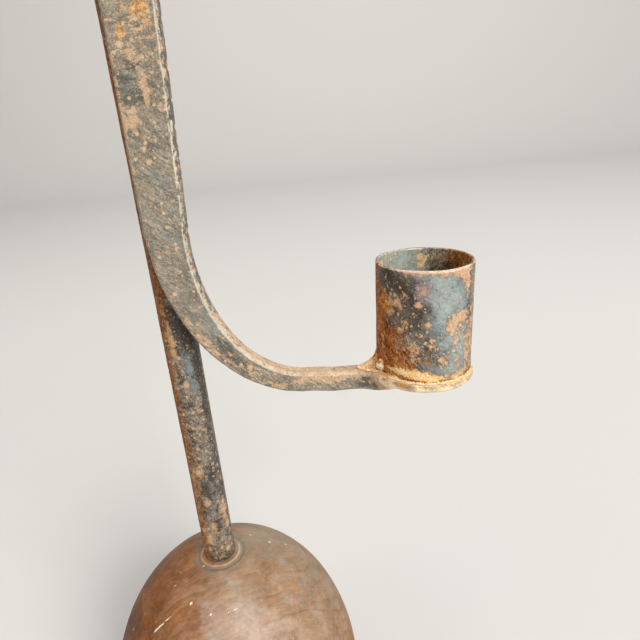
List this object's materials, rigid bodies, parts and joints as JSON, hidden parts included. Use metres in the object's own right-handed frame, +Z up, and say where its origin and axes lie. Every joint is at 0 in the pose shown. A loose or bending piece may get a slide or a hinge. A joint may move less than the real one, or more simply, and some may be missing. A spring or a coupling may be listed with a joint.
{
  "type": "rushlight holder",
  "caption": "Iron table holder for a rushlight: a domed wooden base, a round stem with spring-free nipping jaws, and a curved counterweight lever with a candle socket.",
  "frame": {"origin": "centre of the flat foot, on the table, on the axis of the stem", "axes": "+Z up along the stem, +X from the stem towards the candle socket, -Y to the side on which the lever laps the stem"},
  "size_m": [0.121, 0.083, 0.28],
  "materials": {
    "turned_wood": "old waxed hardwood, dusty and scratched",
    "forged_iron": "hand-forged iron, dark with tan and orange rust",
    "sheet_iron": "rolled sheet iron, blue-grey with rust spots",
    "braze_brass": "dull yellow braze"
  },
  "bodies": {
    "stand": {"base": "turned_wood", "stem": "forged_iron", "pivot_rivet": "forged_iron", "pivot_rove": "forged_iron", "tang_rove": "forged_iron"},
    "lever_arm": {"lever": "forged_iron", "candle_socket": "sheet_iron", "socket_braze": "braze_brass"}
  },
  "joints": [
    {"name": "lever_pivot", "type": "hinge", "parent": "stand", "child": "lever_arm", "pos_m": [0.0025, -0.0075, 0.238], "axis": [0, -1, 0], "range_deg": [0, 108]}
  ]
}
